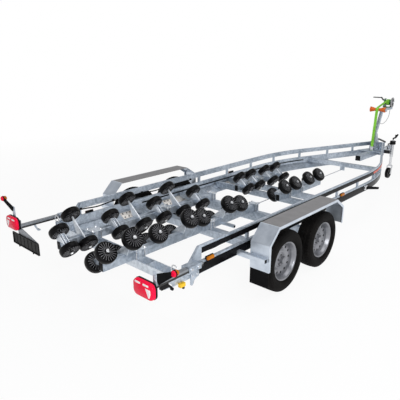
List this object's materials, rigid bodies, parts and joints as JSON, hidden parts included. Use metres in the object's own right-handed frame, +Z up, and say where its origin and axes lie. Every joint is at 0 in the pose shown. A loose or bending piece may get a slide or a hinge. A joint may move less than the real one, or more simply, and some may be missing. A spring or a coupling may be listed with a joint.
{
  "type": "boat trailer",
  "caption": "Galvanised boat trailer with tandem wheels, tilted hull roller cradle, winch post, jockey wheel and pull-out lamp boards.",
  "frame": {"origin": "on the ground below the middle of the overall length and width", "axes": "+X forwards to the coupling, +Y to the trailer's left, +Z up"},
  "size_m": [7.895, 2.544, 1.5875],
  "materials": {
    "galvanised": "hot-dip galvanised, faint spangle",
    "guard_sheet": "galvanised sheet, smooth",
    "black_rubber": "matte moulded rubber",
    "lamp_lens": "clear red lens over black body",
    "tyre": "road tyre",
    "rim_paint": "silver paint",
    "black_plastic": "ribbed black plastic",
    "coupling_metal": "zinc and grey paint",
    "zinc_rod": "zinc plated",
    "winch_paint": "dark green paint",
    "orange_rubber": "orange polyurethane",
    "strap_webbing": "lime green webbing"
  },
  "bodies": {
    "frame": {"rail_upper_left": "galvanised", "rail_lower_left": "galvanised", "mudguard_left": "guard_sheet", "mud_flap_left": "black_rubber", "rail_upper_right": "galvanised", "rail_lower_right": "galvanised", "mudguard_right": "guard_sheet", "mud_flap_right": "black_rubber", "cross_rear": "galvanised", "cross_middle": "galvanised", "cross_front": "galvanised", "beams": "galvanised", "axles": "galvanised", "drawbar": "galvanised", "coupling": "coupling_metal", "brake_rod": "zinc_rod", "winch_post": "galvanised", "winch": "winch_paint", "winch_strap": "strap_webbing", "safety_cable": "zinc_rod", "jockey_clamp": "zinc_rod"},
    "wheel_rear_left": {"tyre_rear_left": "tyre", "rim_rear_left": "rim_paint"},
    "wheel_rear_right": {"tyre_rear_right": "tyre", "rim_rear_right": "rim_paint"},
    "wheel_front_left": {"tyre_front_left": "tyre", "rim_front_left": "rim_paint"},
    "wheel_front_right": {"tyre_front_right": "tyre", "rim_front_right": "rim_paint"},
    "rollers_rear_1_left": {"rollers_rear_1_left": "black_rubber"},
    "rollers_rear_1_right": {"rollers_rear_1_right": "black_rubber"},
    "rollers_rear_2_left": {"rollers_rear_2_left": "black_rubber"},
    "rollers_rear_2_right": {"rollers_rear_2_right": "black_rubber"},
    "rollers_rear_3_left": {"rollers_rear_3_left": "black_rubber"},
    "rollers_rear_3_right": {"rollers_rear_3_right": "black_rubber"},
    "rollers_rear_4_left": {"rollers_rear_4_left": "black_rubber"},
    "rollers_rear_4_right": {"rollers_rear_4_right": "black_rubber"},
    "rollers_rear_5_left": {"rollers_rear_5_left": "black_rubber"},
    "rollers_rear_5_right": {"rollers_rear_5_right": "black_rubber"},
    "rollers_rear_6_left": {"rollers_rear_6_left": "black_rubber"},
    "rollers_rear_6_right": {"rollers_rear_6_right": "black_rubber"},
    "rollers_rear_7_left": {"rollers_rear_7_left": "black_rubber"},
    "rollers_rear_7_right": {"rollers_rear_7_right": "black_rubber"},
    "rollers_front_1_left": {"rollers_front_1_left": "black_rubber"},
    "rollers_front_1_right": {"rollers_front_1_right": "black_rubber"},
    "rollers_front_2_left": {"rollers_front_2_left": "black_rubber"},
    "rollers_front_2_right": {"rollers_front_2_right": "black_rubber"},
    "rollers_front_3_left": {"rollers_front_3_left": "black_rubber"},
    "rollers_front_3_right": {"rollers_front_3_right": "black_rubber"},
    "rollers_front_4_left": {"rollers_front_4_left": "black_rubber"},
    "rollers_front_4_right": {"rollers_front_4_right": "black_rubber"},
    "bow_roller": {"bow_roller": "orange_rubber"},
    "jockey_stem": {"jockey_stem": "zinc_rod"},
    "jockey_fork": {"jockey_fork": "zinc_rod"},
    "jockey_wheel": {"jockey_wheel": "black_rubber"},
    "lamp_board_left": {"lamp_arm_left": "galvanised", "lamp_left": "lamp_lens", "plate_holder": "black_plastic"},
    "lamp_board_right": {"lamp_arm_right": "galvanised", "lamp_right": "lamp_lens"}
  },
  "joints": [
    {"name": "wheel_rear_left_spin", "type": "hinge", "parent": "frame", "child": "wheel_rear_left", "pos_m": [-2.234, 1.135, 0.325], "axis": [0, 1, 0], "continuous": true},
    {"name": "wheel_rear_right_spin", "type": "hinge", "parent": "frame", "child": "wheel_rear_right", "pos_m": [-2.234, -1.135, 0.325], "axis": [0, 1, 0], "continuous": true},
    {"name": "wheel_front_left_spin", "type": "hinge", "parent": "frame", "child": "wheel_front_left", "pos_m": [-1.471, 1.135, 0.325], "axis": [0, 1, 0], "continuous": true},
    {"name": "wheel_front_right_spin", "type": "hinge", "parent": "frame", "child": "wheel_front_right", "pos_m": [-1.471, -1.135, 0.325], "axis": [0, 1, 0], "continuous": true},
    {"name": "rollers_rear_1_left_spin", "type": "hinge", "parent": "frame", "child": "rollers_rear_1_left", "pos_m": [-3.7825, 0.209, 0.539], "axis": [0, 0.766, 0.6428], "continuous": true},
    {"name": "rollers_rear_1_right_spin", "type": "hinge", "parent": "frame", "child": "rollers_rear_1_right", "pos_m": [-3.7825, -0.209, 0.539], "axis": [0, -0.766, 0.6428], "continuous": true},
    {"name": "rollers_rear_2_left_spin", "type": "hinge", "parent": "frame", "child": "rollers_rear_2_left", "pos_m": [-3.5775, 0.209, 0.539], "axis": [0, 0.766, 0.6428], "continuous": true},
    {"name": "rollers_rear_2_right_spin", "type": "hinge", "parent": "frame", "child": "rollers_rear_2_right", "pos_m": [-3.5775, -0.209, 0.539], "axis": [0, -0.766, 0.6428], "continuous": true},
    {"name": "rollers_rear_3_left_spin", "type": "hinge", "parent": "frame", "child": "rollers_rear_3_left", "pos_m": [-3.1815, 0.209, 0.539], "axis": [0, 0.766, 0.6428], "continuous": true},
    {"name": "rollers_rear_3_right_spin", "type": "hinge", "parent": "frame", "child": "rollers_rear_3_right", "pos_m": [-3.1815, -0.209, 0.539], "axis": [0, -0.766, 0.6428], "continuous": true},
    {"name": "rollers_rear_4_left_spin", "type": "hinge", "parent": "frame", "child": "rollers_rear_4_left", "pos_m": [-2.8635, 0.209, 0.539], "axis": [0, 0.766, 0.6428], "continuous": true},
    {"name": "rollers_rear_4_right_spin", "type": "hinge", "parent": "frame", "child": "rollers_rear_4_right", "pos_m": [-2.8635, -0.209, 0.539], "axis": [0, -0.766, 0.6428], "continuous": true},
    {"name": "rollers_rear_5_left_spin", "type": "hinge", "parent": "frame", "child": "rollers_rear_5_left", "pos_m": [-2.5635, 0.209, 0.539], "axis": [0, 0.766, 0.6428], "continuous": true},
    {"name": "rollers_rear_5_right_spin", "type": "hinge", "parent": "frame", "child": "rollers_rear_5_right", "pos_m": [-2.5635, -0.209, 0.539], "axis": [0, -0.766, 0.6428], "continuous": true},
    {"name": "rollers_rear_6_left_spin", "type": "hinge", "parent": "frame", "child": "rollers_rear_6_left", "pos_m": [-2.2485, 0.209, 0.539], "axis": [0, 0.766, 0.6428], "continuous": true},
    {"name": "rollers_rear_6_right_spin", "type": "hinge", "parent": "frame", "child": "rollers_rear_6_right", "pos_m": [-2.2485, -0.209, 0.539], "axis": [0, -0.766, 0.6428], "continuous": true},
    {"name": "rollers_rear_7_left_spin", "type": "hinge", "parent": "frame", "child": "rollers_rear_7_left", "pos_m": [-1.9045, 0.209, 0.539], "axis": [0, 0.766, 0.6428], "continuous": true},
    {"name": "rollers_rear_7_right_spin", "type": "hinge", "parent": "frame", "child": "rollers_rear_7_right", "pos_m": [-1.9045, -0.209, 0.539], "axis": [0, -0.766, 0.6428], "continuous": true},
    {"name": "rollers_front_1_left_spin", "type": "hinge", "parent": "frame", "child": "rollers_front_1_left", "pos_m": [-0.9465, 0.209, 0.539], "axis": [0, 0.766, 0.6428], "continuous": true},
    {"name": "rollers_front_1_right_spin", "type": "hinge", "parent": "frame", "child": "rollers_front_1_right", "pos_m": [-0.9465, -0.209, 0.539], "axis": [0, -0.766, 0.6428], "continuous": true},
    {"name": "rollers_front_2_left_spin", "type": "hinge", "parent": "frame", "child": "rollers_front_2_left", "pos_m": [-0.6835, 0.209, 0.539], "axis": [0, 0.766, 0.6428], "continuous": true},
    {"name": "rollers_front_2_right_spin", "type": "hinge", "parent": "frame", "child": "rollers_front_2_right", "pos_m": [-0.6835, -0.209, 0.539], "axis": [0, -0.766, 0.6428], "continuous": true},
    {"name": "rollers_front_3_left_spin", "type": "hinge", "parent": "frame", "child": "rollers_front_3_left", "pos_m": [-0.3285, 0.209, 0.539], "axis": [0, 0.766, 0.6428], "continuous": true},
    {"name": "rollers_front_3_right_spin", "type": "hinge", "parent": "frame", "child": "rollers_front_3_right", "pos_m": [-0.3285, -0.209, 0.539], "axis": [0, -0.766, 0.6428], "continuous": true},
    {"name": "rollers_front_4_left_spin", "type": "hinge", "parent": "frame", "child": "rollers_front_4_left", "pos_m": [-0.0385, 0.209, 0.539], "axis": [0, 0.766, 0.6428], "continuous": true},
    {"name": "rollers_front_4_right_spin", "type": "hinge", "parent": "frame", "child": "rollers_front_4_right", "pos_m": [-0.0385, -0.209, 0.539], "axis": [0, -0.766, 0.6428], "continuous": true},
    {"name": "bow_roller_spin", "type": "hinge", "parent": "frame", "child": "bow_roller", "pos_m": [2.9475, 0, 1.37], "axis": [0, 1, 0], "continuous": true},
    {"name": "jockey_lift", "type": "slide", "parent": "frame", "child": "jockey_stem", "axis": [0, 0, 1], "range_m": [0, 0.15]},
    {"name": "jockey_swivel", "type": "hinge", "parent": "jockey_stem", "child": "jockey_fork", "pos_m": [3.2475, -0.262, 0.25], "axis": [0, 0, 1], "continuous": true},
    {"name": "jockey_wheel_spin", "type": "hinge", "parent": "jockey_fork", "child": "jockey_wheel", "pos_m": [3.1925, -0.262, 0.107], "axis": [0, 1, 0], "continuous": true},
    {"name": "lamp_board_left_slide", "type": "slide", "parent": "frame", "child": "lamp_board_left", "axis": [1, 0, 0], "range_m": [0, 0.2]},
    {"name": "lamp_board_right_slide", "type": "slide", "parent": "frame", "child": "lamp_board_right", "axis": [1, 0, 0], "range_m": [0, 0.2]}
  ]
}
